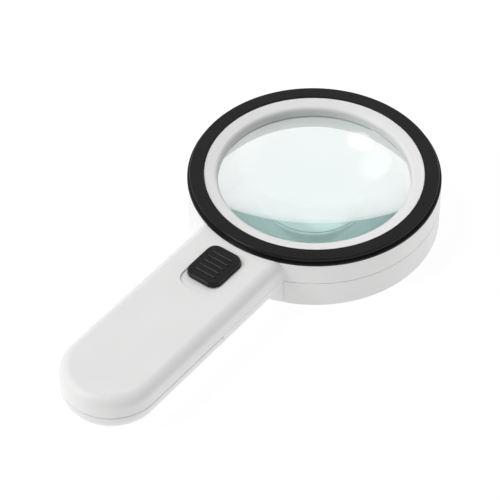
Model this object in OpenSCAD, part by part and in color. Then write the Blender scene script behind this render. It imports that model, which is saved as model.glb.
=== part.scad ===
// Illuminated hand magnifier: a round lens head on a flat handle that holds three AAA cells.
// The origin is on the lens axis at the base of the head. +Z points to the viewing side,
// and the handle runs along -Y.

/* [Head] */
// Outside diameter of the black trim ring
ring_d = 111.2; // [110.8:0.1:111.6]
// Diameter of the opening inside the trim ring
ring_open_d = 96.5; // [96:0.1:97]
// Height of the trim ring
ring_h = 3; // [2.6:0.1:3.2]
// Height of the head, from its base to the top face of the trim ring
head_h = 27; // [26.8:0.1:28]
// Diameter of the straight wall of the head
head_d = 111.2; // [110.6:0.1:111.6]
// Height of the joint between the two shells round the head
head_seam_z = 13.6; // [13:0.1:14.4]
// Clear diameter of the glass inside the front frame
view_d = 84.4; // [83.6:0.1:85]
// Diameter of the opening at the back of the head
rear_open_d = 86.8; // [86.4:0.1:88]
// Wall thickness of the moulded shells
wall = 2.2; // [2:0.1:2.4]

/* [Lens] */
// Diameter of the lens
lens_d = 88; // [87.6:0.1:88.2]
// Radius of curvature of both lens surfaces
lens_radius = 155; // [150:1:220]
// Thickness of the lens at its rim
lens_rim = 3; // [2:0.1:3]

/* [Handle] */
// Distance from the lens axis to the end of the handle
handle_reach = 161; // [160:0.5:166]
// Width of the handle
handle_w = 43.5; // [43:0.1:45]
// Height of the handle's top face above the base
handle_top = 24.6; // [24.4:0.1:25]
// Height of the handle's underside above the base
handle_under = 4.6; // [4:0.1:4.8]
// Radius of the edge round the handle's top face
top_round = 5; // [4:0.25:6]
// Radius of the edge round the handle's underside
under_round = 9; // [8:0.25:10]
// Height of the joint between the shells along the handle
handle_seam_z = 14.8; // [14.2:0.1:15.2]
// Distance from the lens axis to the front edge of the battery door
door_start = 93; // [92.5:0.1:93.5]

/* [Switch] */
// Length of the thumb knob
knob_l = 20.9; // [19.9:0.1:21]
// Width of the thumb knob
knob_w = 17.1; // [16:0.1:17.2]
// Height of the knob's top above the handle's top face
knob_rise = 2.4; // [1.6:0.1:2.4]
// Travel of the knob from off to on
knob_travel = 4.3; // [3.8:0.1:4.3]
// Number of grip ribs on the knob
rib_count = 5; // [3:1:6]

/* [Lights and cells] */
// Number of light-emitting diodes
led_count = 12; // [4:4:12]
// Diameter of one cell
cell_d = 10.5; // [10.2:0.1:10.5]
// Length of one cell with its cap
cell_l = 44.5; // [44:0.1:44.7]

/* [Hidden] */
$fn = 96;
eps = 0.01;
big = 400;

ring_r = ring_d / 2;
ring_open_r = ring_open_d / 2;
head_r = head_d / 2;
view_r = view_d / 2;
rear_r = rear_open_d / 2;
lens_r = lens_d / 2;

// Head levels and radii
deck_z = head_h - ring_h;                // the trim ring stands on this deck
deck_under = deck_z - wall;
ring_ledge_h = 1;                        // foot of the trim ring, a little wider than its body
ring_ledge = 1.05;
// Drop of a lens surface from its middle to the given radius
function sag(r) = lens_radius - sqrt(pow(lens_radius, 2) - pow(r, 2));
seat_z = head_h - 6;                     // the glass meets the front frame here
lens_top_rim = seat_z + sag(view_r) - sag(lens_r);
lens_under_rim = lens_top_rim - lens_rim;
retainer_r = view_r + 0.4;
retainer_top = lens_under_rim + sag(retainer_r) - sag(lens_r) - 0.05;
cell_tube_r = lens_r + 0.15;             // pocket that centres the lens
tube_r = lens_r + 2;                     // outside of that pocket
retainer_z = 11;
retainer_split = 16.5;
collar_wall = 1.6;
collar_h = 10.8;
floor_t = 2;
channel_r = (rear_r + collar_wall + head_r - wall) / 2;    // middle of the light channel
board_z = 6.2;
board_t = 1.2;
post_d = 4.6;                            // screw posts moulded in the shells
pilot_d = 2.3;                           // hole that a screw cuts its thread in
clear_d = 2.5;                           // hole that a screw passes through
post_r = 50;
post_end = 7.7;
post_angles = [45, 135, 225, 315];
head_t = 1.38;                           // height of a housing screw's head
led_d = 3;
led_angles = [for (i = [0 : led_count - 1]) i * 360 / led_count];
led_flange_d = 3.8;
led_tip_z = 2.4;                         // where the dome of each light begins
pad_r = 56.8;                            // collar where the handle meets the head
pad_z = 2;

// Handle
half_w = handle_w / 2;
tail_y = -(handle_reach - half_w);       // centre of the round end
shell_top_t = 2.4;
shell_under_t = 1.8;
seam_gap = 0.3;
handle_posts = [[12, -88], [-12, -88]];
handle_screw_z = 6;                      // outer face of the two handle screws

// Switch, all measured along the handle from the lens axis
pocket_start = 60.3;
pocket_end = 86.5;
pocket_w = 17.8;
pocket_corner = 5.5;
pocket_depth = 0.7;
knob_mid = 71.25;
rib_pitch = 2.98;
rib_l = 11;
knob_corner = 4.4;
slot_w = 7.2;
stem_w = 6.6;
stem_l = 9;
hook_out = 0.7;
pocket_z = handle_top - pocket_depth;
roof_z = handle_top - shell_top_t;
can_mid = knob_mid + knob_travel / 2;
can_l = 20;
can_w = 10;
can_top = 20.6;
can_h = 5.4;
can_t = 0.5;
ear_w = 5.2;
ear_reach = 14.2;                        // from the middle of the can to the end of each ear
switch_posts = [for (s = [-1, 1]) [0, -can_mid + s * (ear_reach - 2.2)]];
terminal_pitch = 4.4;
terminal_l = 3.6;

// Battery compartment
cell_z = 13;
cell_pitch = 10.6;
cell_front = 101.2;                      // front end of the cells
cell_back = cell_front + cell_l;
tray_front = 96;
tray_back = 150;
tray_w = 35.2;
tray_roof_z = 18.6;
tray_roof_t = 1.3;
tray_wall = 1.4;
tray_low = 9.2;
tray_posts = [[5.3, -112], [-5.3, -136]];
rail_back = 142;                         // the rails run from the tray's front to here
rail_z = 12;
spring_gap = 0.35;                       // left between a spring, its plate and its cell
contact_t = 0.3;
contact_w = 8.8;
contact_h = 7.6;
lead_d = 1.2;                            // outside of an insulated lead

// ---------- shared shapes ----------

module ring(r_out, r_in, z0, z1) {
    translate([0, 0, z0]) difference() {
        cylinder(r = r_out, h = z1 - z0);
        translate([0, 0, -1]) cylinder(r = r_in, h = z1 - z0 + 2);
    }
}

module post(x, y, z0, z1, d) {
    translate([x, y, z0]) cylinder(d = d, h = z1 - z0);
}

module around(r, angles) {
    for (a = angles) rotate([0, 0, a]) translate([r, 0, 0]) children();
}

// Half of the handle's outline, from its middle plane outwards, set in by the given amounts
module half_profile(side, top, under) {
    w = half_w - side;
    z_hi = handle_top - top;
    z_lo = handle_under + under;
    r_hi = top_round - side;
    r_lo = under_round - side;
    union() {
        translate([0, z_lo + r_lo]) square([w, z_hi - r_hi - z_lo - r_lo]);
        translate([0, z_lo]) square([w - r_lo, r_lo + eps]);
        translate([0, z_hi - r_hi - eps]) square([w - r_hi, r_hi + eps]);
        intersection() {
            translate([w - r_lo, z_lo + r_lo]) circle(r = r_lo);
            translate([w - r_lo - eps, z_lo]) square([r_lo + 1, r_lo + eps]);
        }
        intersection() {
            translate([w - r_hi, z_hi - r_hi]) circle(r = r_hi);
            translate([w - r_hi - eps, z_hi - r_hi - eps]) square([r_hi + 1, r_hi + 1]);
        }
    }
}

// The handle as a solid bar with a half-round end
module handle_bar(from, side, top, under) {
    translate([0, -from, 0]) rotate([90, 0, 0]) linear_extrude(height = -tail_y - from) {
        half_profile(side, top, under);
        mirror([1, 0]) half_profile(side, top, under);
    }
    translate([0, tail_y, 0]) rotate([0, 0, 180]) rotate_extrude(angle = 180)
        half_profile(side, top, under);
}

// Everything below the joint between the shells
module lower_zone(drop) {
    translate([-big / 2, -big / 2, -big]) cube([big, big, big + head_seam_z - drop]);
    difference() {
        translate([-big / 2, -big / 2, 0]) cube([big, big / 2, handle_seam_z - drop]);
        translate([0, 0, -1]) cylinder(r = pad_r + 0.1, h = big);
    }
}

module slotted(l, w, h) {
    translate([-w / 2, -l / 2, 0]) cube([w, l, h]);
}

module rounded_block(l, w, r, z0, z1) {
    translate([0, 0, z0]) linear_extrude(height = z1 - z0) union() {
        square([w - 2 * r, l], center = true);
        square([w, l - 2 * r], center = true);
        for (sx = [-1, 1], sy = [-1, 1])
            translate([sx * (w / 2 - r), sy * (l / 2 - r)]) circle(r = r);
    }
}

// A screw that points upwards, with the driver's socket in its head
module screw(head_d, head_t, shank_d, length) difference() {
    union() {
        cylinder(d = head_d, h = head_t);
        translate([0, 0, head_t - eps]) cylinder(d = shank_d, h = length);
    }
    translate([0, 0, -eps]) cylinder(d = 0.6 * head_d, h = 0.8 * head_t);
}

// ---------- head ----------

module front_outside() {
    cylinder(r = head_r, h = deck_z);
    difference() {
        handle_bar(40, 0, 0, 0);
        translate([0, 0, deck_z]) cylinder(r = ring_r + 0.15, h = 10);
    }
}

module front_cavity() {
    ring(head_r - wall, tube_r, -1, deck_under);
    difference() {
        handle_bar(48, wall, shell_top_t, shell_under_t);
        translate([0, 0, deck_under]) cylinder(r = head_r, h = 10);
        cylinder(r = tube_r + 1, h = 60);
    }
}

// Front frame round the glass: a shallow bevel, a rounded corner and a steep inner wall
module glass_frame() {
    roll = 2;                            // the frame's face rolls over into its wall
    roll_z = head_h - 3.2;
    roll_start = 101;
    steps = 8;
    face = [for (i = [0 : steps]) let (a = roll_start + i * (180 - roll_start) / steps)
        [view_r + roll + roll * cos(a), roll_z + roll * sin(a)]];
    rotate_extrude() polygon(concat([
        [ring_open_r - 0.05, deck_z - 1],
        [ring_open_r - 0.05, head_h - 0.4]
    ], face, [
        [view_r, seat_z + 0.03],
        [cell_tube_r, seat_z + 0.03],
        [cell_tube_r, retainer_split + 0.05],
        [tube_r, retainer_split + 0.05],
        [tube_r, deck_z - 1]
    ]));
}

module front_housing() color("white") difference() {
    union() {
        difference() {
            front_outside();
            lower_zone(0);
            front_cavity();
            cylinder(r = tube_r, h = big);
            ring(ring_open_r + 0.1, tube_r - 1, deck_z - 0.5, big);
        }
        glass_frame();
        around(post_r, post_angles) post(0, 0, post_end, deck_under + 1, post_d);
        for (p = handle_posts) post(p[0], p[1], 12, roof_z + 1, post_d);
        for (p = switch_posts) post(p[0], p[1], can_top, roof_z + 1, 4.2);
        for (p = tray_posts)
            post(p[0], p[1], tray_roof_z + tray_roof_t, roof_z + 1, post_d);
    }
    around(post_r, post_angles) post(0, 0, post_end - 1, 15, pilot_d);
    for (p = handle_posts) post(p[0], p[1], 11, 19, pilot_d);
    for (p = switch_posts) post(p[0], p[1], can_top - 1, roof_z + 0.6, 2);
    for (p = tray_posts) post(p[0], p[1], tray_roof_z, roof_z + 1.2, pilot_d);
    translate([0, -(pocket_start + pocket_end) / 2, 0])
        rounded_block(pocket_end - pocket_start, pocket_w, pocket_corner, pocket_z, big);
    translate([0, -can_mid, pocket_z - 5]) slotted(stem_l + knob_travel + 1.2, slot_w, 6);
}

module rear_outside() {
    foot = 0.5;                          // chamfer round the base
    groove = 0.3;                        // shadow line at the joint
    rotate_extrude() polygon([
        [rear_r, 0], [head_r - foot, 0], [head_r, foot], [head_r, head_seam_z - groove],
        [head_r - groove, head_seam_z - groove], [head_r - groove, head_seam_z],
        [rear_r, head_seam_z]
    ]);
}

module rear_housing() color("white") difference() {
    union() {
        difference() {
            intersection() {
                union() {
                    rear_outside();
                    intersection() {
                        handle_bar(40, 0, 0, 0);
                        translate([-big / 2, -door_start, 0]) cube([big, big, big]);
                    }
                    intersection() {
                        translate([0, 0, pad_z]) cylinder(r = pad_r, h = head_h);
                        translate([-half_w, -80, 0]) cube([handle_w, 60, handle_seam_z]);
                    }
                }
                lower_zone(0);
            }
            ring(head_r - wall, rear_r + collar_wall, floor_t, head_h);
            difference() {
                handle_bar(48, wall, shell_top_t, shell_under_t);
                cylinder(r = rear_r + collar_wall, h = 60);
            }
            translate([0, 0, -1]) cylinder(r = rear_r + eps, h = 60);
            translate([0, 0, collar_h]) cylinder(r = rear_r + collar_wall + 0.1, h = 10);
        }
        around(post_r, post_angles) post(0, 0, floor_t - 1, post_end - 0.2, post_d);
        for (p = handle_posts) post(p[0], p[1], handle_under + 0.6, 11.8, post_d);
    }
    around(post_r, post_angles) {
        post(0, 0, -1, 3, post_d - 0.2);
        post(0, 0, -1, 9, clear_d);
    }
    for (p = handle_posts) {
        post(p[0], p[1], 0, handle_screw_z + 1.4, post_d - 0.2);
        post(p[0], p[1], 0, 13, clear_d);
    }
    around(channel_r, led_angles) {
        post(0, 0, -1, floor_t + 1, led_d + 0.4);
        translate([0, 0, -eps]) cylinder(d1 = led_d + 2, d2 = led_d + 0.4, h = 1);
    }
}

module trim_ring() color("#222222") rotate_extrude() polygon([
    [ring_open_r, deck_z], [ring_open_r, head_h - 0.1], [ring_open_r + 0.1, head_h],
    [ring_r - ring_ledge - 0.6, head_h], [ring_r - ring_ledge - 0.2, head_h - 0.2],
    [ring_r - ring_ledge, head_h - 0.6], [ring_r - ring_ledge, deck_z + ring_ledge_h],
    [ring_r - 0.1, deck_z + ring_ledge_h], [ring_r, deck_z + ring_ledge_h - 0.1],
    [ring_r, deck_z]
]);

module lens() color("#c8efe8") {
    crown = sag(lens_r) - lens_radius;
    rotate_extrude() intersection() {
        translate([0, lens_top_rim + crown]) circle(r = lens_radius, $fn = 360);
        translate([0, lens_under_rim - crown]) circle(r = lens_radius, $fn = 360);
        square([lens_r, 60]);
    }
}

module lens_retainer() color("white") {
    ring(lens_r - 0.1, retainer_r, retainer_split - 1, retainer_top);
    ring(tube_r - 0.2, retainer_r, retainer_z, retainer_split);
}

// ---------- lights ----------

module led_board() color("#e8efe6") difference() {
    ring(head_r - wall - 0.3, rear_r + collar_wall + 0.2, board_z, board_z + board_t);
    around(post_r, post_angles) {
        post(0, 0, 0, 20, post_d + 0.6);
        translate([0, -(post_d + 0.6) / 2, 0]) cube([6, post_d + 0.6, 20]);
    }
}

module leds() color("#f7f6d8") around(channel_r, led_angles) {
    post(0, 0, board_z - 1, board_z - 0.02, led_flange_d);
    post(0, 0, led_tip_z, board_z - 0.9, led_d);
    translate([0, 0, led_tip_z]) sphere(d = led_d);
}

// Resistor lying on the board between two lights, with its wires bent down
module series_resistor() color("#9fc3d8") rotate([0, 0, 255])
    translate([channel_r, 0, board_z + board_t + 1.3]) rotate([90, 0, 0]) {
        wire_d = 0.6;
        translate([0, 0, -3]) cylinder(d = 2.3, h = 6);
        translate([0, 0, -5]) cylinder(d = wire_d, h = 10);
        for (s = [-1, 1]) translate([0, wire_d / 2, s * 4.7]) rotate([90, 0, 0])
            cylinder(d = wire_d, h = 1.5);
    }

// ---------- fasteners ----------

module housing_screws() color("silver") around(post_r, post_angles)
    translate([0, 0, 1.6]) screw(4, head_t, 2.2, 9);

module handle_screws() color("silver") for (p = handle_posts)
    translate([p[0], p[1], handle_screw_z]) screw(4, head_t, 2.2, 9);

module switch_screws() color("silver") for (p = switch_posts)
    translate([p[0], p[1], can_top - can_t - 1.1]) screw(3.4, 1.1, 1.8, 2.6);

module tray_screws() color("silver") for (p = tray_posts)
    translate([p[0], p[1], tray_roof_z - 1.1]) screw(3.6, 1.1, 2.2, 4.4);

// ---------- switch ----------

module switch_knob() color("#1c1c1c") translate([0, -knob_mid, 0]) difference() {
    top = handle_top + knob_rise;
    rib_r = 0.5;
    leg_t = 1;
    hook_h = 0.7;
    union() {
        rounded_block(knob_l, knob_w, knob_corner, pocket_z + 0.2, handle_top + 0.6);
        rounded_block(knob_l - 0.4, knob_w - 0.8, knob_corner - 0.3, pocket_z + 0.3, top - rib_r);
        for (i = [0 : rib_count - 1])
            translate([-rib_l / 2, (i - (rib_count - 1) / 2) * rib_pitch, top - rib_r])
                rotate([0, 90, 0]) cylinder(r = rib_r, h = rib_l, $fn = 24);
        // Two legs with hooks that snap through the slot
        for (s = [-1, 1]) {
            translate([s * (stem_w - leg_t) / 2 - leg_t / 2, -stem_l / 2, roof_z - 0.3])
                cube([leg_t, stem_l, pocket_z + 1 - roof_z]);
            translate([s * (stem_w + hook_out) / 2 - leg_t, -stem_l / 2, roof_z - 0.9])
                cube([2 * leg_t, stem_l, hook_h]);
        }
    }
    translate([-1.6, -2.2, 0]) cube([3.2, 4.4, handle_top + 0.4]);
}

module switch_lever() color("#303030") translate([0, -knob_mid, 0]) {
    translate([-1.5, -2, can_top - 3.4]) cube([3, 4, handle_top + 0.2 - can_top + 3.4]);
    translate([-2.6, -3.5, can_top - 4]) cube([5.2, 7, 2.6]);
}

module switch_can() color("silver") translate([0, -can_mid, can_top - can_h]) difference() {
    union() {
        slotted(can_l, can_w, can_h);
        translate([-ear_w / 2, -ear_reach, can_h - can_t]) cube([ear_w, 2 * ear_reach, can_t]);
    }
    translate([0, 0, -1]) slotted(can_l - 2 * can_t, can_w - 2 * can_t, can_h + 1 - can_t);
    slotted(4 + knob_travel + 1.2, 3.8, big);
    for (p = switch_posts) translate([0, p[1] + can_mid, 0]) cylinder(d = 2, h = big);
}

module switch_base() color("#8a5a33") translate([0, -can_mid, can_top - can_h])
    slotted(can_l - 2 * can_t - 0.1, can_w - 2 * can_t - 0.1, 0.9);

module switch_terminals() color("#d8c27a") for (s = [-1, 0, 1])
    translate([-0.25, -can_mid + s * terminal_pitch - 0.9, can_top - can_h - terminal_l])
        cube([0.5, 1.8, terminal_l]);

// ---------- battery compartment ----------

module battery_tray() color("white") {
    inner_w = tray_w - 2 * tray_wall;
    inner_l = tray_back - tray_front - 2 * tray_wall;
    difference() {
        intersection() {
            handle_bar(tray_front, wall + 0.5, shell_top_t + 0.3, shell_under_t + 0.3);
            translate([-tray_w / 2, -tray_back, tray_low])
                cube([tray_w, tray_back - tray_front, tray_roof_z + tray_roof_t - tray_low]);
        }
        translate([-inner_w / 2, -tray_back + tray_wall, 0]) cube([inner_w, inner_l, tray_roof_z]);
        for (p = tray_posts) post(p[0], p[1], 0, 60, clear_d);
    }
    // Rails that carry the door
    for (s = [-1, 1]) translate([s * (tray_w / 2 + 0.75) - 0.8, -rail_back, rail_z])
        cube([1.6, rail_back - tray_front, 1]);
}

// One cell, with its cap towards the head or towards the tail
module cell(front_is_cap) {
    flip = front_is_cap ? 0 : 180;
    translate([0, -(cell_front + cell_l / 2), cell_z]) rotate([90, 0, flip])
        translate([0, 0, -cell_l / 2]) {
            cylinder(d = 3.8, h = 1.2);
            translate([0, 0, 1]) cylinder(d = cell_d, h = cell_l - 1);
        }
}

module cell_left() color("#3f7fb5") translate([-cell_pitch, 0, 0]) cell(false);
module cell_middle() color("#3f7fb5") cell(true);
module cell_right() color("#3f7fb5") translate([cell_pitch, 0, 0]) cell(false);

// Coil of wire that tapers from the contact plate to the cell
module contact_spring(length, d_wide, d_narrow, turns, wire) {
    steps = 12 * turns;
    sides = 6;
    function centre(t) = let (r = (d_wide + (d_narrow - d_wide) * t) / 2, a = 360 * turns * t)
        [r * cos(a), r * sin(a), wire / 2 + (length - wire) * t];
    points = [for (i = [0 : steps]) let (t = i / steps, a = 360 * turns * t, c = centre(t))
        for (j = [0 : sides - 1]) let (b = 360 * j / sides)
            [c[0] + wire / 2 * cos(b) * cos(a), c[1] + wire / 2 * cos(b) * sin(a),
             c[2] + wire / 2 * sin(b)]];
    skin = [for (i = [0 : steps - 1]) for (j = [0 : sides - 1]) let (k = (j + 1) % sides)
        each [[i * sides + j, i * sides + k, (i + 1) * sides + k],
              [i * sides + j, (i + 1) * sides + k, (i + 1) * sides + j]]];
    caps = [[for (j = [sides - 1 : -1 : 0]) j], [for (j = [0 : sides - 1]) steps * sides + j]];
    polyhedron(points, concat(skin, caps));
}

module contact_springs() color("silver") {
    front = -tray_front - tray_wall;
    back = -tray_back + tray_wall;
    for (s = [-1, 1]) translate([s * cell_pitch, front - contact_t - 0.03, cell_z]) rotate([90, 0, 0])
        contact_spring(front + cell_front - spring_gap, 7, 5, 3, 0.6);
    translate([0, back + contact_t + 0.03, cell_z]) rotate([-90, 0, 0])
        contact_spring(-back - cell_back - spring_gap, 7, 5, 2, 0.6);
}

module contact_plate(x, y, width) {
    translate([x, y, cell_z - contact_h / 2]) cube([width, contact_t, contact_h]);
}

module contact_plates() color("silver") {
    front = -tray_front - tray_wall;
    back = -tray_back + tray_wall;
    left = -cell_pitch - contact_w / 2;
    // Front: the left cell's spring plate, and the link from the middle cell to the right one
    contact_plate(left, front - contact_t, contact_w);
    contact_plate(-contact_w / 2, front - contact_t, cell_pitch + contact_w);
    translate([0, front - contact_t, cell_z]) rotate([90, 0, 0]) cylinder(d = 4, h = 3.3);
    // Back: the link from the left cell to the middle one, and the right cell's plate
    contact_plate(left, back, cell_pitch + contact_w);
    contact_plate(cell_pitch - contact_w / 2, back, contact_w);
    for (s = [-1, 1]) translate([s * cell_pitch, back + contact_t + 2.4, cell_z])
        rotate([90, 0, 0]) cylinder(d = 4, h = 2.5);
}

// Insulated wire along straight runs with round bends
module lead(points, d) {
    for (i = [0 : len(points) - 2]) {
        a = points[i];
        b = points[i + 1];
        v = b - a;
        translate(a) rotate([0, acos(v[2] / norm(v)), atan2(v[1], v[0])])
            cylinder(d = d, h = norm(v), $fn = 16);
        if (i > 0) translate(a) sphere(d = d * 1.1, $fn = 16);
    }
}

module lead_battery() color("red") lead([
    [cell_pitch, -tray_back + 0.9, 21], [cell_pitch - 1, -95, 21], [8.4, -92.5, 17.5],
    [8, -90, 12], [7.6, -84, 11], [1.2, -can_mid - terminal_pitch, 12.4]], lead_d);

module lead_switch() color("red") lead([
    [1.2, -can_mid, 12.4], [7.5, -70, 11], [7.5, -60, 9.6], [5, -50, 8.2]], lead_d);

module lead_return() color("#111111") lead([
    [-cell_pitch, -tray_front + 0.7, cell_z], [-8, -90, 11], [-8, -60, 9.6], [-5, -50, 8.2]],
    lead_d);

module battery_door() color("white") {
    front = door_start + seam_gap;
    top = handle_seam_z - seam_gap;
    rib_back = 138;
    tongue_w = 14;
    tongue_z = handle_under + shell_under_t + 0.3;
    ridge_pitch = 2.4;
    difference() {
        intersection() {
            handle_bar(front, 0, 0, 0);
            translate([-big / 2, -big / 2, 0]) cube([big, big, top]);
        }
        handle_bar(front - 1, wall - 0.2, shell_top_t, shell_under_t);
    }
    // Ribs that ride on the tray's rails
    for (s = [-1, 1]) translate([s * (half_w - 2.6) - 0.8, -rib_back, rail_z + 1.3])
        cube([1.6, rib_back - front - 4, 1]);
    // Tongue that slips over the rear housing's floor
    translate([-tongue_w / 2, -front - 6, handle_under + 1]) cube([tongue_w, 6, shell_under_t]);
    translate([-tongue_w / 2, -front - 1, tongue_z]) cube([tongue_w, 5.5, 0.7]);
    // Grip ridges
    for (i = [0 : 4]) translate([-tongue_w / 2, -front - 7 - ridge_pitch * i, handle_under])
        rotate([0, 90, 0]) cylinder(r = 0.5, h = tongue_w, $fn = 24);
}

front_housing();
rear_housing();
trim_ring();
lens();
lens_retainer();
led_board();
leds();
series_resistor();
housing_screws();
handle_screws();
switch_knob();
switch_lever();
switch_can();
switch_base();
switch_terminals();
switch_screws();
battery_tray();
tray_screws();
cell_left();
cell_middle();
cell_right();
contact_springs();
contact_plates();
lead_battery();
lead_switch();
lead_return();
battery_door();
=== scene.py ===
import math

import bmesh
import bpy
from mathutils import Matrix, Vector


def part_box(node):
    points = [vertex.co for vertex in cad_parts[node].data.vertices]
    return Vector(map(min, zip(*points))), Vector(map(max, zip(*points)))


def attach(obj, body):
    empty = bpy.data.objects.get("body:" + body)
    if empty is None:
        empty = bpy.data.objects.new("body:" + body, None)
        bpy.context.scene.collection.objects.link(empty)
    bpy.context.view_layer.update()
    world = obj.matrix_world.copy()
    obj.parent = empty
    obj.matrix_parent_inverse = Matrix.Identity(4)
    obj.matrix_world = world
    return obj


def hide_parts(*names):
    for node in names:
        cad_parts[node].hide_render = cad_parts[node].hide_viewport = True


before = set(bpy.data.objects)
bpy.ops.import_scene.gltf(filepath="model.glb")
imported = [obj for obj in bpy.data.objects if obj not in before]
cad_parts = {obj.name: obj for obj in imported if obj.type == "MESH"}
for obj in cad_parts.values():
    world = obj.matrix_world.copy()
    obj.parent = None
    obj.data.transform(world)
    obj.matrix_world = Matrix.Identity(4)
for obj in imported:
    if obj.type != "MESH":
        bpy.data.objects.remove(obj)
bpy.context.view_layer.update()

# Lengths in this script are millimetres, and meshes are made in metres.
MM = 0.001


# ---------- sizes, read from the frame ----------

def box_mm(node):
    """The low and high corners of a node's box, in millimetres."""
    low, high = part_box(node)
    return low / MM, high / MM


ring_low, ring_high = box_mm("trim_ring")
rear_high = box_mm("rear_housing")[1]
front_high = box_mm("front_housing")[1]
door_low, door_high = box_mm("battery_door")
knob_low, knob_high = box_mm("switch_knob")
lens_low, lens_high = box_mm("lens")
retainer_low, retainer_high = box_mm("lens_retainer")

WALL = 2.2                  # side walls of the shells
HEAD_R = rear_high.x
RING_R = ring_high.x
RING_OPEN_R = 48.25
RING_LEDGE = 1.05           # how far the ring's foot stands out past its body
DECK_Z = ring_low.z
HEAD_TOP = ring_high.z
FRAME_LIP_Z = front_high.z
DOOR_GAP = 0.3              # between the battery door and the shells
HANDLE_SEAM_Z = door_high.z + DOOR_GAP
SEAM_STEP = 1.2             # how far the head's joint line lies below the handle's
HEAD_SEAM_Z = HANDLE_SEAM_Z - SEAM_STEP
HALF_W = door_high.x
TAIL_END = -door_low.y
TONGUE_REACH = 4.5          # of the door's tongue past its front edge
DOOR_FRONT_Y = door_high.y - TONGUE_REACH
DOOR_Y = DOOR_FRONT_Y + DOOR_GAP
RIDGE_R = 0.5               # grip ridges under the door
RIDGE_L = 14
RIDGE_PITCH = 2.4
RIDGE_COUNT = 5
HANDLE_UNDER = door_low.z + RIDGE_R
KNOB_RISE = 2.4             # of the knob above the handle's top
HANDLE_TOP = knob_high.z - KNOB_RISE
TOP_ROUND = 5
UNDER_ROUND = 9
ROOF_T = 2.4
FLOOR_T = 1.8

LENS_R = lens_high.x
VIEW_R = 42.2               # radius of the frame's opening in front of the glass
SEAT_Z = 21.03              # where the frame ends, above the rim of the glass
FRAME_KNEE_Z = FRAME_LIP_Z - 1.19
REAR_R = 43.4               # radius of the rear opening
COLLAR_WALL = 1.6
COLLAR_H = 10.8
TUBE_R = LENS_R + 2
DECK_UNDER = DECK_Z - WALL
HEAD_FLOOR = 2
LED_COUNT = 12
# The lights stand in the middle of the channel between the collar and the head's wall.
CHANNEL_R = (REAR_R + COLLAR_WALL + HEAD_R - WALL) / 2
POST_R = 50                 # circle of the head's screw posts
POST_D = 4.6
PAD_R = 56.8                # how far the pad at the handle's root reaches from the lens axis
PAD_Z = 2                   # underside of that pad
HANDLE_POST_X = 12
HANDLE_POST_Y = -88
HEAD_POST_TOP = 7.5         # top of the rear shell's posts in the head
HEAD_POST_MEET = 7.7        # foot of the front shell's posts above them
HANDLE_POST_TOP = 11.8
HANDLE_POST_MEET = 12
TUBE_STEP_Z = 16.55         # where the tube round the lens widens for its retainer
RETAINER_STEP_Z = 16.5
ROOT_Y = -40                # the handle's solids start here, inside the head, and are trimmed to it

TRAY_FRONT = 96
TRAY_BACK = 150
TRAY_WALL = 1.4
RAIL_FRONT = -97.3
RAIL_BACK = -138
RAIL_LOW = 13.3
RAIL_HIGH = 14.3
TONGUE_HALF_W = 7
CELL_PITCH = 10.6
CELL_Z = 13
CONTACT_T = 0.3
LED_FLANGE_TOP = 6.18
LED_DOME_R = 1.5
LED_FLANGE_R = 1.9
LED_HOLE_D = 3.4

KNOB_MID = (knob_low.y + knob_high.y) / 2
KNOB_L = knob_high.y - knob_low.y
KNOB_W = knob_high.x - knob_low.x
POCKET_START = 60.3
POCKET_END = 86.5
POCKET_W = 17.8
POCKET_CORNER = 5.5
POCKET_Z = HANDLE_TOP - 0.7
KNOB_CORNER = 4.4
KNOB_TRAVEL = 4.3
SLOT_MID = KNOB_MID - KNOB_TRAVEL / 2
SLOT_HALF_L = 7.8
SLOT_HALF_W = 3.6
LEG_X = 2.8                 # snap legs of the knob, in the slot
LEG_HALF_L = 4.5
HOOK_X = 3.65               # hooks at their ends, under the slot's edges
HOOK_HALF_L = 4.4
RIB_COUNT = 5
RIB_PITCH = 2.98
RIB_L = 11
RIB_W = 1.0


# ---------- outlines ----------

def rounded(corners, steps=6):
    """A closed outline through the corners (a, b, radius), with an arc at each corner that has a radius."""
    points = []
    for i, (a, b, radius) in enumerate(corners):
        here = Vector((a, b))
        if not radius:
            points.append(here)
            continue
        before = (Vector(corners[i - 1][:2]) - here).normalized()
        after = (Vector(corners[(i + 1) % len(corners)][:2]) - here).normalized()
        half = before.angle(after) / 2
        centre = here + (before + after).normalized() * radius / math.sin(half)
        reach = radius / math.tan(half)
        start = here + before * reach - centre
        end = here + after * reach - centre
        sweep = math.atan2(start.x * end.y - start.y * end.x, start.dot(end))
        for k in range(steps + 1):
            turn = sweep * k / steps
            points.append(centre + Matrix.Rotation(turn, 2) @ start)
    return points


def u_ring(inset, front_y, tail_r=HALF_W, arc_steps=64):
    """The handle's outline seen from above, set in by inset: open at front_y, round at the tail."""
    radius = tail_r - inset
    flat = HALF_W - tail_r
    centre_y = -TAIL_END + tail_r
    points = [Vector((HALF_W - inset, front_y))]
    for k in range(arc_steps + 1):
        turn = -math.pi * k / arc_steps
        side = flat if k < arc_steps / 2 else -flat
        if k == arc_steps / 2:
            points.append(Vector((flat, centre_y - radius)))
        points.append(Vector((side + radius * math.cos(turn), centre_y + radius * math.sin(turn))))
    points.append(Vector((-(HALF_W - inset), front_y)))
    return points


def round_rect(length, width, corner, arc_steps=10):
    """A rounded rectangle about the origin, with its length along y."""
    w, l = width / 2, length / 2
    return rounded([(w, -l, corner), (w, l, corner), (-w, l, corner), (-w, -l, corner)], arc_steps)


# ---------- meshes ----------

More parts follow.
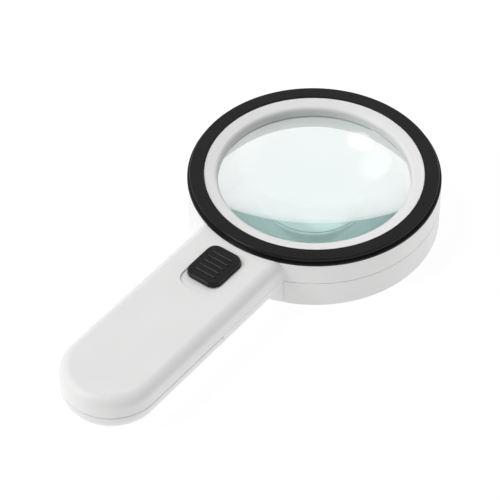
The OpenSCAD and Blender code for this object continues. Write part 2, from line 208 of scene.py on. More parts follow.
def mesh_object(name, points, faces):
    """A new object from points in millimetres, with its faces turned outwards."""
    mesh = bpy.data.meshes.new(name)
    mesh.from_pydata([Vector(p) * MM for p in points], [], faces)
    work = bmesh.new()
    work.from_mesh(mesh)
    bmesh.ops.remove_doubles(work, verts=work.verts, dist=0.002 * MM)
    bmesh.ops.recalc_face_normals(work, faces=work.faces)
    work.to_mesh(mesh)
    work.free()
    piece = bpy.data.objects.new(name, mesh)
    bpy.context.scene.collection.objects.link(piece)
    return piece


def loft(name, rings):
    """A closed solid through rings of equal length, each a list of (x, y, z)."""
    n = len(rings[0])
    points = [p for ring in rings for p in ring]
    faces = [list(range(n))[::-1], [(len(rings) - 1) * n + i for i in range(n)]]
    for k in range(len(rings) - 1):
        for i in range(n):
            j = (i + 1) % n
            faces.append([k * n + i, k * n + j, (k + 1) * n + j, (k + 1) * n + i])
    return mesh_object(name, points, faces)


def revolve(name, outline, segments=192):
    """A solid of revolution about z, from a closed outline of (radius, z)."""
    points = []
    for i in range(segments):
        turn = 2 * math.pi * i / segments
        points += [(r * math.cos(turn), r * math.sin(turn), z) for r, z in outline]
    n = len(outline)
    faces = []
    for i in range(segments):
        j = (i + 1) % segments
        for k in range(n):
            m = (k + 1) % n
            corners = [i * n + k, j * n + k, j * n + m, i * n + m]
            if outline[k][0] < 1e-6 and outline[m][0] < 1e-6:
                continue
            faces.append(corners)
    return mesh_object(name, points, faces)


def cylinder(name, x, y, z0, z1, diameter, top_diameter=None, segments=48):
    """A plain round solid, used to build and to cut other pieces."""
    rings = []
    for z, d in ((z0, diameter), (z1, top_diameter or diameter)):
        turns = [2 * math.pi * i / segments for i in range(segments)]
        rings.append([(x + d / 2 * math.cos(t), y + d / 2 * math.sin(t), z) for t in turns])
    return loft(name, rings)


def block(name, low, high):
    """A plain box between two corners, used to build and to cut other pieces."""
    rings = []
    for z in (low[2], high[2]):
        rings.append([(low[0], low[1], z), (high[0], low[1], z), (high[0], high[1], z), (low[0], high[1], z)])
    return loft(name, rings)


def prism(name, outline, y0, y1):
    """A solid between y0 and y1 from a closed outline of (x, z)."""
    return loft(name, [[(x, y, z) for x, z in outline] for y in (y0, y1)])


def joined(name, parts):
    """Several objects as the separate solids of one."""
    work = bmesh.new()
    for part in parts:
        work.from_mesh(part.data)
        bpy.data.objects.remove(part)
    mesh = bpy.data.meshes.new(name)
    work.to_mesh(mesh)
    work.free()
    piece = bpy.data.objects.new(name, mesh)
    bpy.context.scene.collection.objects.link(piece)
    return piece


def bake_modifiers(piece):
    """Applies a piece's modifiers to its mesh."""
    graph = bpy.context.evaluated_depsgraph_get()
    mesh = bpy.data.meshes.new_from_object(piece.evaluated_get(graph), depsgraph=graph)
    piece.modifiers.clear()
    piece.data = mesh


def combine(piece, other, operation):
    """Adds other to piece, cuts it away, or keeps what they share."""
    step = piece.modifiers.new("combine", "BOOLEAN")
    step.operation = operation
    step.solver = "MANIFOLD"
    step.object = other
    bake_modifiers(piece)
    bpy.data.objects.remove(other)
    return piece


def cut(piece, other):
    return combine(piece, other, "DIFFERENCE")


def add(piece, other):
    return combine(piece, other, "UNION")


def keep(piece, other):
    return combine(piece, other, "INTERSECT")


def smooth(piece, sharp_deg=32):
    """Smooth shading with hard edges where faces meet at more than sharp_deg, and flat faces kept flat."""
    mesh = piece.data
    mesh.polygons.foreach_set("use_smooth", [True] * len(mesh.polygons))
    mesh.set_sharp_from_angle(angle=math.radians(sharp_deg))
    step = piece.modifiers.new("even_normals", "WEIGHTED_NORMAL")
    step.mode = "FACE_AREA"
    step.weight = 50
    step.keep_sharp = True
    return piece


# ---------- materials ----------

class Shader:
    """A node material built step by step, with its patterns laid out in the object's own coordinates."""

    def __init__(self, name):
        self.material = bpy.data.materials.new(name)
        self.material.use_nodes = True
        self.tree = self.material.node_tree
        self.body = self.tree.nodes["Principled BSDF"]
        self.where = self.tree.nodes.new("ShaderNodeTexCoord").outputs["Object"]

    def set(self, **sockets):
        for name, value in sockets.items():
            socket = self.body.inputs[name.replace("_", " ")]
            socket.default_value = (*value, 1) if isinstance(value, tuple) else value
        return self

    def noise(self, scale, detail=3, roughness=0.55):
        node = self.tree.nodes.new("ShaderNodeTexNoise")
        node.inputs["Scale"].default_value = scale
        node.inputs["Detail"].default_value = detail
        node.inputs["Roughness"].default_value = roughness
        self.tree.links.new(self.where, node.inputs["Vector"])
        return node.outputs["Fac"]

    def ramp(self, source, stops):
        node = self.tree.nodes.new("ShaderNodeValToRGB")
        elements = node.color_ramp.elements
        while len(elements) < len(stops):
            elements.new(0.5)
        for element, (place, value) in zip(elements, stops):
            element.position = place
            element.color = (*value, 1) if isinstance(value, tuple) else (value, value, value, 1)
        self.tree.links.new(source, node.inputs["Fac"])
        return node.outputs["Color"]

    def link(self, socket, source):
        self.tree.links.new(source, self.body.inputs[socket])
        return self

    def bump(self, source, height_mm, before=None):
        node = self.tree.nodes.new("ShaderNodeBump")
        node.inputs["Strength"].default_value = 1
        node.inputs["Distance"].default_value = height_mm * MM
        self.tree.links.new(source, node.inputs["Height"])
        if before is not None:
            self.tree.links.new(before, node.inputs["Normal"])
        self.tree.links.new(node.outputs["Normal"], self.body.inputs["Normal"])
        return node.outputs["Normal"]


def plastic(name, light, dark, roughness, specular=0.5, grain_mm=0.0015, wave_mm=0.004):
    """Moulded plastic: faint mottling, roughness that varies, a fine grain and slow moulding waves."""
    shader = Shader(name)
    shader.link("Base Color", shader.ramp(shader.noise(60, 4), [(0.35, dark), (0.65, light)]))
    finish = [(0.3, roughness - 0.05), (0.7, roughness + 0.05)]
    shader.link("Roughness", shader.ramp(shader.noise(140, 5), finish))
    shader.set(Specular_IOR_Level=specular)
    waves = shader.bump(shader.noise(90, 2), wave_mm)
    shader.bump(shader.noise(2600, 2), grain_mm, waves)
    return shader.material


def metal(name, light, dark, roughness, streak=900):
    """Plated or drawn metal with fine variation in its finish."""
    shader = Shader(name)
    shader.set(Metallic=1.0)
    shader.link("Base Color", shader.ramp(shader.noise(streak, 4), [(0.35, dark), (0.7, light)]))
    finish = [(0.3, roughness - 0.07), (0.7, roughness + 0.1)]
    shader.link("Roughness", shader.ramp(shader.noise(streak / 3, 5), finish))
    shader.bump(shader.noise(streak * 2, 3), 0.002)
    return shader.material


def glass(name, roughness=0.0):
    """Optical crown glass with the faint green of its iron content."""
    shader = Shader(name)
    shader.set(Base_Color=(1.0, 1.0, 1.0), Transmission_Weight=1.0, IOR=1.52)
    shader.link("Roughness", shader.ramp(shader.noise(40, 3), [(0.4, roughness), (0.9, roughness + 0.012)]))
    tint = shader.tree.nodes.new("ShaderNodeVolumeAbsorption")
    tint.inputs["Color"].default_value = (0.15, 0.86, 0.78, 1)
    tint.inputs["Density"].default_value = 6
    shader.tree.links.new(tint.outputs["Volume"], shader.tree.nodes["Material Output"].inputs["Volume"])
    return shader.material


def resin(name):
    """Clear cast epoxy with a faint warm tint and a slightly uneven surface."""
    shader = Shader(name)
    warm = [(0.35, (0.93, 0.92, 0.84)), (0.7, (0.98, 0.97, 0.92))]
    shader.link("Base Color", shader.ramp(shader.noise(700, 3), warm))
    shader.link("Roughness", shader.ramp(shader.noise(500, 4), [(0.3, 0.06), (0.7, 0.12)]))
    shader.set(Transmission_Weight=0.75, IOR=1.53)
    shader.bump(shader.noise(900, 2), 0.001)
    return shader.material


def dress(piece, *materials):
    """Gives a piece its materials, and keeps which face has which."""
    numbers = [face.material_index for face in piece.data.polygons]
    piece.data.materials.clear()
    for material in materials:
        piece.data.materials.append(material)
    piece.data.polygons.foreach_set("material_index", numbers)
    return piece


def paint(piece, number, where=lambda centre: True):
    """Gives the faces whose centre passes the test the piece's material of that number."""
    for face in piece.data.polygons:
        if where(face.center / MM):
            face.material_index = number
    return piece


WHITE = plastic("white_abs", (0.885, 0.888, 0.88), (0.87, 0.873, 0.865), 0.38)
BLACK = plastic("black_trim_plastic", (0.011, 0.011, 0.0115), (0.008, 0.008, 0.0085), 0.17, 0.2)
KNOB = plastic("black_knob_plastic", (0.010, 0.010, 0.0105), (0.007, 0.007, 0.0075), 0.15, 0.24)
GLASS = glass("lens_crown_glass")
BOARD = plastic("circuit_board_mask", (0.80, 0.84, 0.79), (0.70, 0.76, 0.70), 0.45, 0.4)
LAMINATE = plastic("phenolic_laminate", (0.30, 0.15, 0.06), (0.22, 0.10, 0.04), 0.6, 0.3)
RESIN = resin("led_resin")
RESISTOR = plastic("resistor_lacquer", (0.25, 0.48, 0.62), (0.18, 0.40, 0.55), 0.4, 0.5)
STEEL = metal("nickel_plated_steel", (0.72, 0.72, 0.70), (0.58, 0.58, 0.57), 0.28)
BRASS = metal("contact_brass", (0.78, 0.62, 0.32), (0.62, 0.47, 0.22), 0.32)
JACKET = plastic("cell_jacket", (0.035, 0.16, 0.33), (0.028, 0.13, 0.28), 0.28, 0.5)
BAND = metal("cell_band", (0.80, 0.80, 0.78), (0.70, 0.70, 0.69), 0.25, 400)
PHOSPHOR = plastic("led_phosphor", (0.95, 0.72, 0.12), (0.90, 0.62, 0.08), 0.5, 0.3)
RED_WIRE = plastic("red_insulation", (0.62, 0.03, 0.02), (0.52, 0.02, 0.015), 0.4, 0.5)
BLACK_WIRE = plastic("black_insulation", (0.02, 0.02, 0.02), (0.012, 0.012, 0.012), 0.42, 0.5)


# ---------- shells ----------

def bar(name, front_y, levels):
    """A solid with the handle's outline, through levels of (inset, z) from bottom to top."""
    return loft(name, [[(p.x, p.y, z) for p in u_ring(inset, front_y)] for inset, z in levels])


def quarter(radius, z_end, upwards, steps=10):
    """Levels of a rounded edge: from the side wall to a flat top, or from a flat bottom to the wall."""
    levels = []
    for k in range(steps + 1):
        turn = math.pi / 2 * k / steps
        inset = radius * (1 - math.cos(turn))
        drop = radius * (1 - math.sin(turn))
        levels.append((inset, z_end - drop if upwards else z_end + drop))
    return levels if upwards else levels[::-1]


def shell_cavity(name, front_y, z0, z1, top_round, under_round):
    """The space inside the handle, a wall's thickness in from its outline."""
    under = quarter(under_round, z0, False) if under_round else [(0, z0)]
    top = quarter(top_round, z1, True) if top_round else [(0, z1)]
    levels = [(WALL + inset, z) for inset, z in under + top]
    return bar(name, front_y, levels)


def flared_pocket(outline_at, z_floor, z_surface, rim=0.3, floor_round=0.35):
    """A cutter for a pocket: a small round at its floor, and a rim that rolls over at the surface."""
    steps = 4
    rings = []
    for k in range(steps + 1):
        turn = math.pi / 2 * k / steps
        rings.append((-floor_round * (1 - math.sin(turn)), z_floor + floor_round * (1 - math.cos(turn))))
    for k in range(steps + 1):
        turn = math.pi / 2 * k / steps
        rings.append((rim * (1 - math.cos(turn)), z_surface - rim * (1 - math.sin(turn))))
    rings.append((rim, z_surface + 4))
    return loft("cutter", [outline_at(grow, z) for grow, z in rings])


def moved(piece, x=0, y=0, z=0, turn=None):
    """Turns a piece about the origin by a 4x4 matrix, if one is given, and then moves it."""
    matrix = Matrix.Translation(Vector((x, y, z)) * MM)
    piece.data.transform(matrix @ turn if turn else matrix)
    return piece


def soften(piece, where, width, steps=2):
    """Rounds the hard edges whose two ends are both where the test says, given as millimetres."""
    work = bmesh.new()
    work.from_mesh(piece.data)
    edges = [e for e in work.edges if len(e.link_faces) == 2 and e.calc_face_angle(0) > math.radians(35)
             and all(where(v.co / MM) for v in e.verts)]
    bmesh.ops.bevel(work, geom=edges, offset=width * MM, offset_type="OFFSET", segments=steps,
                    profile=0.5, affect="EDGES", clamp_overlap=True)
    work.to_mesh(piece.data)
    work.free()
    return piece


def hole(x, y, depth, diameter, rim=0.25, base=0):
    """A cutter for a round hole that opens downwards, with a small chamfer at its mouth."""
    r = diameter / 2
    outline = [(0, depth), (r, depth), (r, rim), (r + rim, 0), (r + rim, -1), (0, -1)]
    return moved(revolve("cutter", outline, 48), x, y, base)


def around(count, radius, start_deg=0):
    """Points spaced evenly on a circle about the lens axis."""
    turns = [math.radians(start_deg) + 2 * math.pi * i / count for i in range(count)]
    return [(radius * math.cos(t), radius * math.sin(t)) for t in turns]


HANDLE_POSTS = [(HANDLE_POST_X, HANDLE_POST_Y), (-HANDLE_POST_X, HANDLE_POST_Y)]
HEAD_POSTS = around(4, POST_R, 45)
EDGE = 0.2                  # rounding of the shells' edges along their joints


def front_housing():
    """Front shell: the upper half of the head with the frame round the glass, and the handle's top."""
    head = revolve("front_shell", rounded([
        (HEAD_R, HEAD_SEAM_Z, EDGE), (HEAD_R, DECK_Z, 0), (RING_OPEN_R - 0.05, DECK_Z, 0),
        (RING_OPEN_R - 0.05, FRAME_LIP_Z, 0.25), (VIEW_R, FRAME_KNEE_Z, 2), (VIEW_R, SEAT_Z, 0.08),
        (LENS_R + 0.15, SEAT_Z, 0), (LENS_R + 0.15, TUBE_STEP_Z, 0), (TUBE_R, TUBE_STEP_Z, 0),
        (TUBE_R, DECK_UNDER, 0.6), (HEAD_R - WALL, DECK_UNDER, 0.6), (HEAD_R - WALL, HEAD_SEAM_Z, 0)], 10))
    lower_edge = [(EDGE, 0), (EDGE * 0.3, EDGE * 0.3), (0, EDGE)]
    handle = bar("handle", ROOT_Y, [(inset, HANDLE_SEAM_Z + z) for inset, z in lower_edge]
                 + quarter(TOP_ROUND, HANDLE_TOP, True))
    pad = bar("pad", ROOT_Y, [(inset, HEAD_SEAM_Z + z) for inset, z in lower_edge] + [(0, HANDLE_SEAM_Z + 2)])
    keep(pad, cylinder("limit", 0, 0, 0, DECK_Z, 2 * PAD_R + 0.2, segments=192))
    add(handle, pad)
    notch_r = RING_R + 0.15
    cut(handle, revolve("cutter", rounded([
        (1, DECK_Z, 0), (notch_r, DECK_Z, 0), (notch_r, HANDLE_TOP - 0.25, 0.15),
        (RING_R + 0.4, HANDLE_TOP + 0.02, 0), (RING_R + 0.4, HEAD_TOP, 0), (1, HEAD_TOP, 0)])))
    cut(handle, shell_cavity("cutter", -48, HEAD_SEAM_Z - 2, HANDLE_TOP - ROOF_T, TOP_ROUND - WALL, 0))
    cut(handle, cylinder("cutter", 0, 0, 0, DECK_Z, 2 * (HEAD_R - 1), segments=192))
    add(head, handle)
    mid = -(POCKET_START + POCKET_END) / 2
    cut(head, flared_pocket(
        lambda grow, z: [(p.x, p.y + mid, z) for p in round_rect(
            POCKET_END - POCKET_START + 2 * grow, POCKET_W + 2 * grow, POCKET_CORNER + grow)],
        POCKET_Z, HANDLE_TOP))
    cut(head, block("cutter", (-SLOT_HALF_W, SLOT_MID - SLOT_HALF_L, 15),
                    (SLOT_HALF_W, SLOT_MID + SLOT_HALF_L, POCKET_Z + 1)))
    posts = [cylinder("post", x, y, HEAD_POST_MEET, DECK_UNDER + 1, POST_D) for x, y in HEAD_POSTS]
    posts += [cylinder("post", x, y, HANDLE_POST_MEET, HANDLE_TOP - 1, POST_D) for x, y in HANDLE_POSTS]
    return add(head, joined("posts", posts))


def trough(under, under_round, top):
    """Section of the handle's lower half: its outside down to under, and the hollow that a wall leaves."""
    inner_w = HALF_W - WALL
    inner_z = HANDLE_UNDER + FLOOR_T
    inner_round = UNDER_ROUND - FLOOR_T
    return rounded([
        (HALF_W, top, EDGE), (HALF_W, under, under_round),
        (-HALF_W, under, under_round), (-HALF_W, top, EDGE),
        (-inner_w, top, EDGE), (-inner_w, inner_z, inner_round),
        (inner_w, inner_z, inner_round), (inner_w, top, EDGE)], 8)


def rear_housing():
    """Rear shell: the head's lower half with its floor, light holes and collar, and the handle's neck."""
    groove = 0.3
    head = revolve("rear_shell", rounded([
        (REAR_R, 0, 0.5), (HEAD_R, 0, 0.8), (HEAD_R, HEAD_SEAM_Z - groove, EDGE),
        (HEAD_R - groove, HEAD_SEAM_Z - groove, 0), (HEAD_R - groove, HEAD_SEAM_Z, 0),
        (HEAD_R - WALL, HEAD_SEAM_Z, 0), (HEAD_R - WALL, HEAD_FLOOR, 0.8),
        (REAR_R + COLLAR_WALL, HEAD_FLOOR, 0.8), (REAR_R + COLLAR_WALL, COLLAR_H, 0.3),
        (REAR_R, COLLAR_H, 0.3)]))
    neck = prism("neck", trough(HANDLE_UNDER, UNDER_ROUND, HANDLE_SEAM_Z), DOOR_Y, ROOT_Y)
    soften(neck, lambda v: abs(v.y - DOOR_Y) < 0.01, EDGE)
    cut(neck, cylinder("cutter", 0, 0, HEAD_SEAM_Z, 30, 2 * PAD_R + 0.2, segments=192))
    pad = prism("pad", trough(PAD_Z, 0.6, HEAD_SEAM_Z), -70, ROOT_Y)
    keep(pad, cylinder("limit", 0, 0, 0, DECK_Z, 2 * PAD_R, segments=192))
    add(neck, pad)
    cut(neck, cylinder("cutter", 0, 0, -1, 30, 2 * (HEAD_R - 1), segments=192))
    add(head, neck)
    posts = [cylinder("post", x, y, HEAD_FLOOR - 1, HEAD_POST_TOP, POST_D) for x, y in HEAD_POSTS]
    posts += [cylinder("post", x, y, HANDLE_UNDER + 0.6, HANDLE_POST_TOP, POST_D) for x, y in HANDLE_POSTS]
    add(head, joined("posts", posts))
    holes = [hole(x, y, HEAD_FLOOR + 1, LED_HOLE_D, 0.8) for x, y in around(LED_COUNT, CHANNEL_R)]
    holes += [hole(x, y, 3, POST_D - 0.2) for x, y in HEAD_POSTS]
    holes += [hole(x, y, 2.8, POST_D - 0.2, base=HANDLE_UNDER) for x, y in HANDLE_POSTS]
    return cut(head, joined("cutter", holes))


def capsule(name, x, y, z, length, radius):
    """A round bar along x with round ends."""
    turns = [math.pi / 2 * k / 6 for k in range(7)]
    outline = [(radius * math.sin(t), -length / 2 + radius - radius * math.cos(t)) for t in turns]
    outline += [(r, -h) for r, h in outline[::-1]]
    return moved(revolve(name, outline, 24), x, y, z, Matrix.Rotation(math.pi / 2, 4, "Y"))


def battery_door():
    """The handle's lower rear half, which slides off towards the tail."""
    top = HANDLE_SEAM_Z - DOOR_GAP
    door = bar("cell_door", DOOR_FRONT_Y, quarter(UNDER_ROUND, HANDLE_UNDER, False)
               + [(0, top - EDGE), (EDGE * 0.3, top - EDGE * 0.3), (EDGE, top)])
    soften(door, lambda v: abs(v.y - DOOR_FRONT_Y) < 0.01, EDGE)
    wall = WALL - 0.2
    levels = [(wall + inset, z) for inset, z in quarter(UNDER_ROUND - wall, HANDLE_UNDER + FLOOR_T, False)]
    cut(door, bar("cutter", DOOR_FRONT_Y + 1, levels + [(wall, 30)]))
    rails = []
    for side in (-1, 1):
        rail_x = side * (HALF_W - 2.6)
        rails.append(block("rail", (rail_x - 0.8, RAIL_BACK, RAIL_LOW),
                           (rail_x + 0.8, RAIL_FRONT, RAIL_HIGH)))
    add(door, joined("rails", rails))
    tongue = block("tongue", (-TONGUE_HALF_W, DOOR_FRONT_Y - 6, HANDLE_UNDER + 1),
                   (TONGUE_HALF_W, DOOR_FRONT_Y - 0.3, HANDLE_UNDER + 1 + FLOOR_T))
    lip_z = HANDLE_UNDER + FLOOR_T + 0.3
    add(tongue, block("lip", (-TONGUE_HALF_W, DOOR_FRONT_Y - 1, lip_z),
                      (TONGUE_HALF_W, door_high.y, lip_z + 0.7)))
    soften(tongue, lambda v: v.y > DOOR_FRONT_Y, 0.2)
    add(door, tongue)
    ridges = [capsule("ridge", 0, DOOR_FRONT_Y - 7 - RIDGE_PITCH * i, HANDLE_UNDER, RIDGE_L, RIDGE_R)
              for i in range(RIDGE_COUNT)]
    return add(door, joined("ridges", ridges))


def trim_ring():
    """Black ring round the frame, with a slightly wider foot."""
    body_r = RING_R - RING_LEDGE
    return revolve("black_ring", rounded([
        (RING_OPEN_R, DECK_Z, 0.1), (RING_OPEN_R, HEAD_TOP, 0.3), (body_r, HEAD_TOP, 0.5),
        (body_r, DECK_Z + 1, 0.15), (RING_R, DECK_Z + 1, 0.25), (RING_R, DECK_Z, 0.1)]), 240)


def lens():
    """Thick lens with two equal curved faces and a ground rim."""
    thickness = lens_high.z - lens_low.z
    rim = 3
    sag = (thickness - rim) / 2
    curve_r = (LENS_R ** 2 + sag ** 2) / (2 * sag)
    chamfer = 0.3
    steps = 48
    reach = [(LENS_R - chamfer) * k / steps for k in range(steps + 1)]
    drop = [curve_r - math.sqrt(curve_r ** 2 - r ** 2) for r in reach]
    outline = [(r, lens_low.z + d) for r, d in zip(reach, drop)]
    outline += [(LENS_R, lens_low.z + sag + chamfer), (LENS_R, lens_high.z - sag - chamfer)]
    outline += [(r, lens_high.z - d) for r, d in zip(reach[::-1], drop[::-1])]
    return revolve("lens_glass_body", outline, 256)


def lens_retainer():
    """White ring that holds the lens from behind."""
    low, high = retainer_low.z, retainer_high.z
    inner = VIEW_R + 0.4
    return revolve("lens_clamp", rounded([
        (inner, low, 0.3), (TUBE_R - 0.2, low, 0.3),
        (TUBE_R - 0.2, RETAINER_STEP_Z, 0), (LENS_R - 0.1, RETAINER_STEP_Z, 0),
        (LENS_R - 0.1, high, 0.1), (inner, high, 0.15)]))


def grip_rib(y):
    """A narrow rib across the knob, with a round back and round ends."""
    top = knob_high.z
    half = RIB_W / 2
    levels = [(0, top - 0.8)]
    for k in range(6):
        turn = math.radians(15 * k)
        levels.append((half * (1 - math.cos(turn)), top - half * (1 - math.sin(turn))))
    outline = round_rect(RIB_W, RIB_L, half - 0.01, 8)
    rings = []
    for inset, z in levels:
        shrink_y = 1 - 2 * inset / RIB_W
        shrink_x = 1 - 2 * inset / RIB_L
        rings.append([(p.x * shrink_x, p.y * shrink_y + y, z) for p in outline])
    return loft("rib", rings)


def switch_knob():
    """Thumb knob: a rounded block with grip ribs, on two snap legs that pass through the handle's slot."""
    base_z = knob_low.z
    seat = POCKET_Z + 0.2
    plateau = knob_high.z - 0.5
    body = []
    levels = [(0.25, 0.25, seat), (0, 0, seat + 0.3), (0.1, 0.35, plateau - 0.4)]
    turn_steps = 5
    for k in range(1, turn_steps + 1):
        turn = math.pi / 2 * k / turn_steps
        edge = 0.4 * (1 - math.cos(turn))
        levels.append((0.1 + edge, 0.35 + edge, plateau - 0.4 + 0.4 * math.sin(turn)))
    for inset_l, inset_w, z in levels:
        corner = KNOB_CORNER - (inset_l + inset_w) / 2
        ring = round_rect(KNOB_L - 2 * inset_l, KNOB_W - 2 * inset_w, corner, 12)
        body.append([(p.x, p.y + KNOB_MID, z) for p in ring])
    knob = loft("thumb_knob", body)
    ribs = [grip_rib(KNOB_MID + (i - (RIB_COUNT - 1) / 2) * RIB_PITCH) for i in range(RIB_COUNT)]
    add(knob, joined("ribs", ribs))
    legs, hooks = [], []
    for side in (-1, 1):
        leg_x = side * LEG_X
        hook_x = side * HOOK_X
        legs.append(block("leg", (leg_x - 0.5, KNOB_MID - LEG_HALF_L, base_z + 0.5),
                          (leg_x + 0.5, KNOB_MID + LEG_HALF_L, seat + 0.3)))
        hooks.append(block("hook", (hook_x - 1.05, KNOB_MID - HOOK_HALF_L, base_z),
                           (hook_x + 1.05, KNOB_MID + HOOK_HALF_L, base_z + 0.7)))
    add(knob, joined("legs", legs))
    return add(knob, joined("hooks", hooks))


# ---------- small parts ----------

def cell(name, node, cap_in_front):
    """A cell: a steel can with its cap, in a shrunk jacket that has a band round the cap's end."""
    low, high = box_mm(node)
    radius = (high.x - low.x) / 2
    length = high.y - low.y
    cap_r, cap_h, can_r, band_end = 1.9, 1.1, 4.6, 9.5
    can = revolve("can", rounded([
        (0, 0, 0), (cap_r, 0, 0.4), (cap_r, cap_h, 0.1), (can_r, cap_h, 0), (can_r, length - 0.2, 0),
        (2.9, length - 0.2, 0.2), (2.7, length - 0.08, 0.2), (0, length - 0.08, 0)]), 64)
    jacket = revolve("jacket", rounded([
        (3.9, 1, 0.1), (radius, 1, 0.6), (radius, band_end, 0), (radius, length, 0.5), (3.9, length, 0.1),
        (3.9, length - 0.3, 0), (4.9, length - 0.3, 0), (4.9, 1.3, 0), (3.9, 1.3, 0)]), 64)
    paint(jacket, 1)
    paint(jacket, 2, lambda centre: centre.z < band_end - 0.1)
    piece = joined(name, [can, jacket])
    turn = Matrix.Rotation(math.radians(90 if cap_in_front else -90), 4, "X")
    return moved(piece, (low.x + high.x) / 2, high.y if cap_in_front else low.y, (low.z + high.z) / 2, turn)


def wire_coil(name, x, y, z, towards, length, wide, narrow, turns, wire):
    """A conical spring along y: a coil of round wire whose first turn lies flat against its plate."""
    steps, sides = 28 * turns, 10
    rings = []
    for i in range(steps + 1):
        t = i / steps
        r = (wide + (narrow - wide) * t) / 2
        turn = 2 * math.pi * turns * t
        along = wire / 2 + (length - wire) * t
        ring = []
        for k in range(sides):
            b = 2 * math.pi * k / sides
            reach = r + wire / 2 * math.cos(b)
            ring.append((x + reach * math.cos(turn), y + towards * (along + wire / 2 * math.sin(b)),
                         z + reach * math.sin(turn)))
        rings.append(ring)
    return loft(name, rings)


def contact_springs():
    """The three springs on the battery contact plates."""
    front = -TRAY_FRONT - TRAY_WALL
    back = -TRAY_BACK + TRAY_WALL
    wide, narrow, wire = 7, 5, 0.6
    pieces = []
    for x in (-CELL_PITCH, CELL_PITCH):
        pieces.append(wire_coil("coil", x, front - CONTACT_T - 0.03, CELL_Z, -1, 3.45, wide, narrow, 3, wire))
    pieces.append(wire_coil("coil", 0, back + CONTACT_T + 0.03, CELL_Z, 1, 2.55, wide, narrow, 2, wire))
    return joined("springs", pieces)


def screw(x, y, z, head_d, head_t, shank_d, length):
    """A pan-head screw that points upwards, with a cross recess and rings for its thread."""
    thread = []
    end = z + head_t + length
    turn_z = z + head_t + 0.6
    while turn_z < end - 1:
        thread += [(shank_d / 2 - 0.25, turn_z, 0), (shank_d / 2, turn_z + 0.3, 0)]
        turn_z += 0.6
    piece = revolve("screw", rounded([
        (0, z, 0), (head_d / 2 - 0.5, z, 0.3), (head_d / 2, z + 0.45, 0.3), (head_d / 2, z + head_t, 0.05),
        (shank_d / 2 - 0.25, z + head_t, 0), *thread, (0.2, end, 0), (0, end, 0)], 3), 40)
    arm = 0.29 * head_d
    for half_x, half_y in ((arm, 0.09 * head_d), (0.09 * head_d, arm)):
        cut(piece, block("cutter", (-half_x, -half_y, z - 1), (half_x, half_y, z + 0.65 * head_t)))
    return moved(piece, x, y)


def screws(name, places, z, head_d, head_t, shank_d, length):
    return joined(name, [screw(x, y, z, head_d, head_t, shank_d, length) for x, y in places])


def lights():
    """Domed lights with a flange, each with its yellow die inside."""
    flange_z = LED_FLANGE_TOP - 0.98
    turns = [math.pi / 2 * k / 8 for k in range(9)]
    dome = [(LED_DOME_R * math.sin(t), 2.4 - LED_DOME_R * math.cos(t)) for t in turns]
    flange = [(LED_DOME_R, flange_z), (LED_FLANGE_R - 0.05, flange_z), (LED_FLANGE_R, flange_z + 0.08),
              (LED_FLANGE_R, LED_FLANGE_TOP), (0, LED_FLANGE_TOP)]
    body = revolve("body", dome + flange, 40)
    die = paint(cylinder("die", 0, 0, 3.5, 4.6, 1.5, 2.1, 24), 1)
    one = joined("light", [body, die])
    pieces = []
    for x, y in around(LED_COUNT, CHANNEL_R):
        copy = bpy.data.objects.new("light", one.data.copy())
        bpy.context.scene.collection.objects.link(copy)
        pieces.append(moved(copy, x, y))
    bpy.data.objects.remove(one)
    return joined("lights", pieces)


# ---------- pieces ----------

def place(piece, body, node, slot, *materials, sharp_deg=32):
    """Finishes a piece: its shading, its materials, the body it rides on and the node it stands for."""
    dress(smooth(piece, sharp_deg), *materials)
    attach(piece, body)
    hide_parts(node)
    return piece


place(front_housing(), "body", "front_housing", "white_shell", WHITE)
place(rear_housing(), "body", "rear_housing", "white_shell", WHITE)
place(lens_retainer(), "body", "lens_retainer", "white_shell", WHITE)
place(trim_ring(), "body", "trim_ring", "black_trim", BLACK)
place(lens(), "body", "lens", "lens_glass", GLASS)
place(switch_knob(), "switch_slide", "switch_knob", "black_knob", KNOB)
place(battery_door(), "door", "battery_door", "white_shell", WHITE)

place(lights(), "body", "leds", "led_resin", RESIN, PHOSPHOR)
place(contact_springs(), "body", "contact_springs", "plated_steel", STEEL, sharp_deg=50)
for side, cap_in_front in (("left", False), ("middle", True), ("right", False)):
    piece = cell(f"dry_cell_{side}", f"cell_{side}", cap_in_front)
    place(piece, "body", f"cell_{side}", "cell_jacket", STEEL, JACKET, BAND)

# Each row: node, places, z of the head's face, head diameter and height, shank diameter and length.
SCREWS = [
    ("housing_screws", HEAD_POSTS, 1.6, 4, 1.38, 2.2, 9),
    ("handle_screws", HANDLE_POSTS, 6, 4, 1.38, 2.2, 9),
    ("switch_screws", [(0, SLOT_MID - 12), (0, SLOT_MID + 12)], 19, 3.4, 1.1, 1.8, 2.6),
    ("tray_screws", [(5.3, -112), (-5.3, -136)], 17.5, 3.6, 1.1, 2.2, 4.4),
]
for node, *sizes in SCREWS:
    place(screws("cross_" + node, *sizes), "body", node, "plated_steel", STEEL)

CARRIED_OVER = [            # node, material, rounding of its edges
    ("led_board", BOARD, 0.08), ("series_resistor", RESISTOR, 0), ("switch_lever", BLACK, 0.15),
    ("switch_can", STEEL, 0.1), ("switch_base", LAMINATE, 0.05), ("switch_terminals", BRASS, 0.06),
    ("battery_tray", WHITE, 0.2), ("contact_plates", STEEL, 0.05), ("lead_battery", RED_WIRE, 0),
    ("lead_switch", RED_WIRE, 0), ("lead_return", BLACK_WIRE, 0),
]
for node, material, edge in CARRIED_OVER:
    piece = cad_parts[node]
    for material_slot in piece.material_slots:
        material_slot.material = material
    if edge:
        round_off = piece.modifiers.new("edges", "BEVEL")
        round_off.width = edge * MM
        round_off.segments = 2
        round_off.limit_method = "ANGLE"
        round_off.angle_limit = math.radians(45)


# ---------- stage, camera and lights ----------

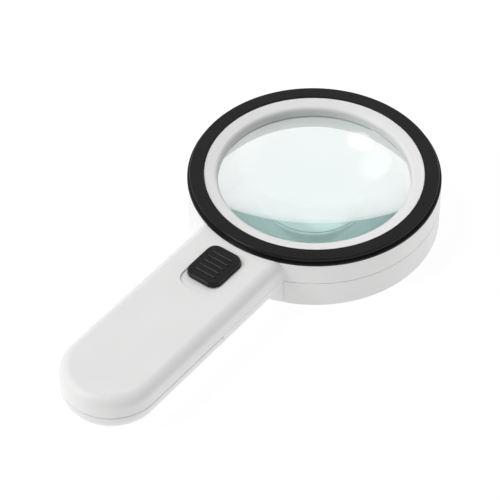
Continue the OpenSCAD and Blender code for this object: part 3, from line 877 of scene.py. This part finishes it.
CAM_AZIMUTH = math.radians(37.61)
CAM_ELEVATION = math.radians(45.20)
CAM_ROLL = math.radians(-0.32)
CAM_TARGET = Vector((-0.0010, -0.04505, 0.0135))
CAM_DISTANCE = 1.1194
CAM_LENS = 187.2
CAM_SENSOR = 36
FLOOR_HALF = 3000
FLOOR_Z = -0.06
FLOOR_GLOW = 0.9


def make_camera():
    back = Vector((math.sin(CAM_AZIMUTH) * math.cos(CAM_ELEVATION),
                   -math.cos(CAM_AZIMUTH) * math.cos(CAM_ELEVATION), math.sin(CAM_ELEVATION)))
    right = Vector((math.cos(CAM_AZIMUTH), math.sin(CAM_AZIMUTH), 0))
    data = bpy.data.cameras.new("camera")
    data.lens = CAM_LENS
    data.sensor_width = CAM_SENSOR
    camera = bpy.data.objects.new("camera", data)
    turn = Matrix((right, back.cross(right), back)).transposed() @ Matrix.Rotation(CAM_ROLL, 3, "Z")
    camera.matrix_world = Matrix.Translation(CAM_TARGET + back * CAM_DISTANCE) @ turn.to_4x4()
    bpy.context.scene.collection.objects.link(camera)
    bpy.context.scene.camera = camera


def make_floor():
    """A white floor just under the base, which is seen only from above."""
    corners = [(FLOOR_HALF * x, FLOOR_HALF * y) for x, y in ((-1, -1), (1, -1), (1, 1), (-1, 1))]
    floor = mesh_object("floor", [(x, y, FLOOR_Z) for x, y in corners], [[0, 1, 2, 3]])
    if floor.data.polygons[0].normal.z < 0:
        floor.data.flip_normals()
    material = bpy.data.materials.new("floor_white")
    material.use_nodes = True
    tree = material.node_tree
    shader = tree.nodes["Principled BSDF"]
    shader.inputs["Base Color"].default_value = (0.15, 0.15, 0.15, 1)
    shader.inputs["Roughness"].default_value = 1
    shader.inputs["Specular IOR Level"].default_value = 0
    shader.inputs["Emission Color"].default_value = (1, 1, 1, 1)
    shader.inputs["Emission Strength"].default_value = FLOOR_GLOW
    clear = tree.nodes.new("ShaderNodeBsdfTransparent")
    either = tree.nodes.new("ShaderNodeMixShader")
    tree.links.new(tree.nodes.new("ShaderNodeNewGeometry").outputs["Backfacing"], either.inputs["Fac"])
    tree.links.new(shader.outputs["BSDF"], either.inputs[1])
    tree.links.new(clear.outputs["BSDF"], either.inputs[2])
    tree.links.new(either.outputs["Shader"], tree.nodes["Material Output"].inputs["Surface"])
    dress(floor, material)


SKY = [                     # direction, cosines where its light begins and is full, strength
    ((0, 0, 1), -0.3, 0.1, 0.18),               # even light all round
    ((0, 0, 1), 0.35, 0.85, 0.31),              # broad glow overhead
    ((-0.43, -0.3, 0.85), 0.978, 0.992, 7),     # main lamp, high on the left
    ((-0.78, -0.12, 0.6), 0.93, 0.975, 1.6),    # soft lamp on the left
    ((-0.43, -0.71, 0.56), 0.978, 0.992, 8),    # small lamp beyond the handle's end
    ((-0.65, 0.55, 0.52), 0.9, 0.98, 0.18),     # fill, behind on the left
    ((0.7, 0.6, 0.4), 0.8, 0.98, 0.75),         # fill, behind on the right
    ((-1, 0, 0), 0.5, 0.95, 0.15),              # low fill on the left
    ((-0.4, 0.9, 0.1), 0.6, 0.95, 0.46),        # low fill behind the head
]


def make_world():
    """A studio sky: a few broad glows, each fading in with the direction's cosine."""
    world = bpy.data.worlds.new("studio")
    bpy.context.scene.world = world
    world.use_nodes = True
    tree = world.node_tree
    where = tree.nodes.new("ShaderNodeTexCoord").outputs["Generated"]
    total = None
    for direction, start, full, strength in SKY:
        facing = tree.nodes.new("ShaderNodeVectorMath")
        facing.operation = "DOT_PRODUCT"
        tree.links.new(where, facing.inputs[0])
        facing.inputs[1].default_value = direction
        fade = tree.nodes.new("ShaderNodeMapRange")
        fade.interpolation_type = "SMOOTHSTEP"
        for name, value in (("From Min", start), ("From Max", full), ("To Min", 0), ("To Max", strength)):
            fade.inputs[name].default_value = value
        tree.links.new(facing.outputs["Value"], fade.inputs["Value"])
        glow = fade.outputs["Result"]
        if total is not None:
            both = tree.nodes.new("ShaderNodeMath")
            tree.links.new(total, both.inputs[0])
            tree.links.new(glow, both.inputs[1])
            glow = both.outputs["Value"]
        total = glow
    background = tree.nodes["Background"]
    background.inputs["Color"].default_value = (1, 1, 1, 1)
    tree.links.new(total, background.inputs["Strength"])


make_camera()
make_floor()
make_world()
bpy.context.scene.view_settings.view_transform = "Standard"
